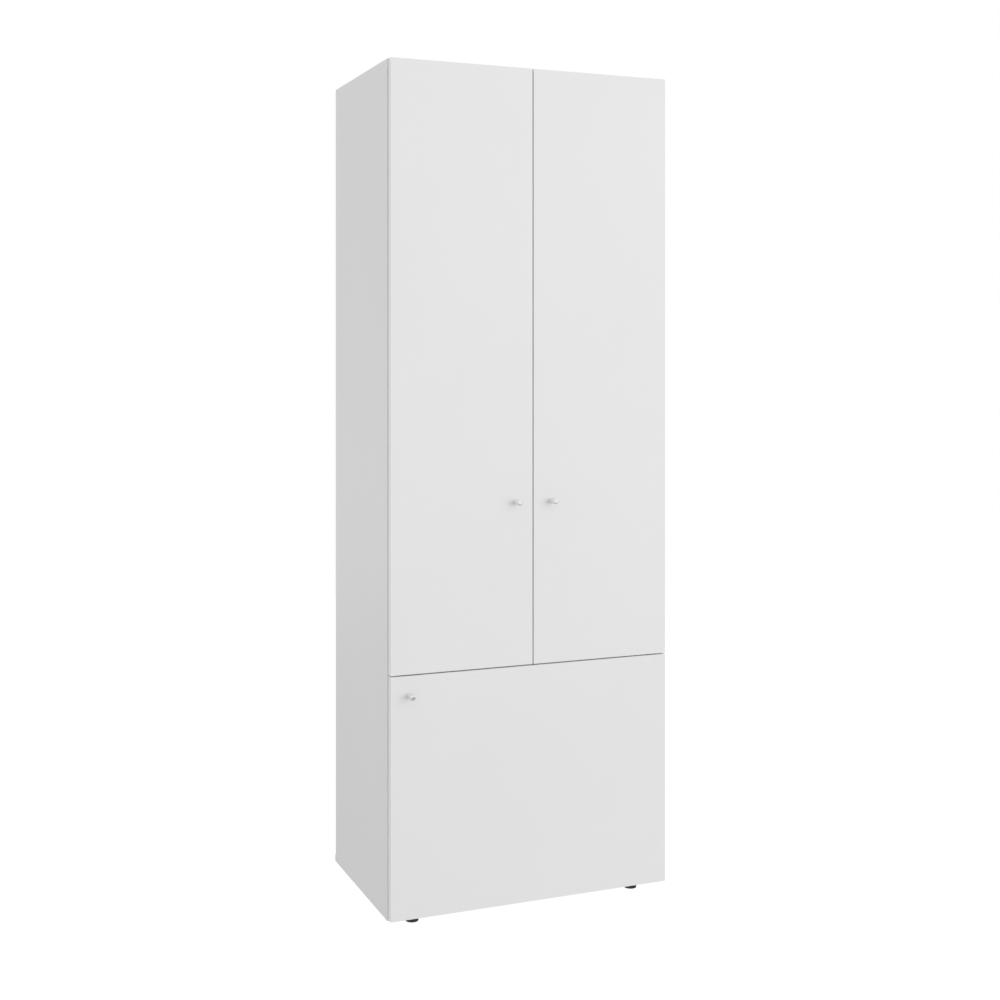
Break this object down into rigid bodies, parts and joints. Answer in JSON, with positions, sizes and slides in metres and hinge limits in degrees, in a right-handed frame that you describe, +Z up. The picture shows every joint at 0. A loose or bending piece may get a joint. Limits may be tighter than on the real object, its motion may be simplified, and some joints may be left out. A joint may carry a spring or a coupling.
{
  "type": "wardrobe",
  "caption": "Tall wardrobe with a pair of hinged upper doors, a side-hinged lower door, small round knobs, hanging rail, loose shelves and levelling feet.",
  "frame": {"origin": "on the floor, in the middle of the overall width and of the overall depth from the knobs to the rear edge", "axes": "+Z up, the doors face -Y, +X to the right when facing the doors"},
  "size_m": [0.8, 0.545, 2.242],
  "materials": {
    "white_board": "white melamine-faced board",
    "white_front": "white lacquered front board",
    "back_board": "thin white fibreboard",
    "knob_metal": "satin turned metal",
    "hinge_steel": "nickel-plated",
    "zinc_steel": "zinc-plated",
    "rail_chrome": "polished",
    "grey_plastic": "satin",
    "black_plastic": "matt",
    "beech": "bare beech",
    "clear_rubber": "soft"
  },
  "bodies": {
    "carcass": {"arm_screws": "zinc_steel", "back_panel": "back_board", "back_panel_screws": "zinc_steel", "bottom_board": "white_board", "bottom_screws": "zinc_steel", "bracket_screws": "zinc_steel", "cam_bolts": "zinc_steel", "cam_locks": "zinc_steel", "clothes_rail": "rail_chrome", "dowels": "beech", "foot_inserts": "grey_plastic", "hat_shelf": "white_board", "hinge_arms_left": "hinge_steel", "hinge_arms_lower": "hinge_steel", "hinge_arms_right": "hinge_steel", "hinge_plates_left": "hinge_steel", "hinge_plates_lower": "hinge_steel", "hinge_plates_right": "hinge_steel", "lower_shelf": "white_board", "middle_shelf": "white_board", "plate_screws": "zinc_steel", "rail_screws": "zinc_steel", "rail_socket_left": "grey_plastic", "rail_socket_right": "grey_plastic", "shelf_pins": "zinc_steel", "side_panel_left": "white_board", "side_panel_right": "white_board", "top_panel": "white_board", "wall_bracket_left": "zinc_steel", "wall_bracket_right": "zinc_steel"},
    "left_door": {"left_door": "white_front", "knob_left": "knob_metal", "knob_screw_left": "zinc_steel", "door_bumpers_left": "clear_rubber", "hinge_cups_left": "hinge_steel", "hinge_pins_left": "hinge_steel", "cup_screws_left": "zinc_steel"},
    "right_door": {"right_door": "white_front", "knob_right": "knob_metal", "knob_screw_right": "zinc_steel", "door_bumpers_right": "clear_rubber", "hinge_cups_right": "hinge_steel", "hinge_pins_right": "hinge_steel", "cup_screws_right": "zinc_steel"},
    "lower_door": {"lower_door": "white_front", "knob_lower": "knob_metal", "knob_screw_lower": "zinc_steel", "door_bumpers_lower": "clear_rubber", "hinge_cups_lower": "hinge_steel", "hinge_pins_lower": "hinge_steel", "cup_screws_lower": "zinc_steel"},
    "foot_front_left": {"foot_pad_front_left": "black_plastic", "foot_spindle_front_left": "zinc_steel"},
    "foot_front_right": {"foot_pad_front_right": "black_plastic", "foot_spindle_front_right": "zinc_steel"},
    "foot_rear_left": {"foot_pad_rear_left": "black_plastic", "foot_spindle_rear_left": "zinc_steel"},
    "foot_rear_right": {"foot_pad_rear_right": "black_plastic", "foot_spindle_rear_right": "zinc_steel"}
  },
  "joints": [
    {"name": "left_door_hinge", "type": "hinge", "parent": "carcass", "child": "left_door", "pos_m": [-0.391, -0.2275, 1.4485], "axis": [0, 0, -1], "range_deg": [0, 95]},
    {"name": "right_door_hinge", "type": "hinge", "parent": "carcass", "child": "right_door", "pos_m": [0.391, -0.2275, 1.4485], "axis": [0, 0, 1], "range_deg": [0, 95]},
    {"name": "lower_door_hinge", "type": "hinge", "parent": "carcass", "child": "lower_door", "pos_m": [0.391, -0.2275, 0.33925], "axis": [0, 0, 1], "range_deg": [0, 95]},
    {"name": "foot_screw_front_left", "type": "slide", "parent": "carcass", "child": "foot_front_left", "axis": [0, 0, 1], "range_m": [-0.012, 0.006]},
    {"name": "foot_screw_front_right", "type": "slide", "parent": "carcass", "child": "foot_front_right", "axis": [0, 0, 1], "range_m": [-0.012, 0.006]},
    {"name": "foot_screw_rear_left", "type": "slide", "parent": "carcass", "child": "foot_rear_left", "axis": [0, 0, 1], "range_m": [-0.012, 0.006]},
    {"name": "foot_screw_rear_right", "type": "slide", "parent": "carcass", "child": "foot_rear_right", "axis": [0, 0, 1], "range_m": [-0.012, 0.006]}
  ]
}
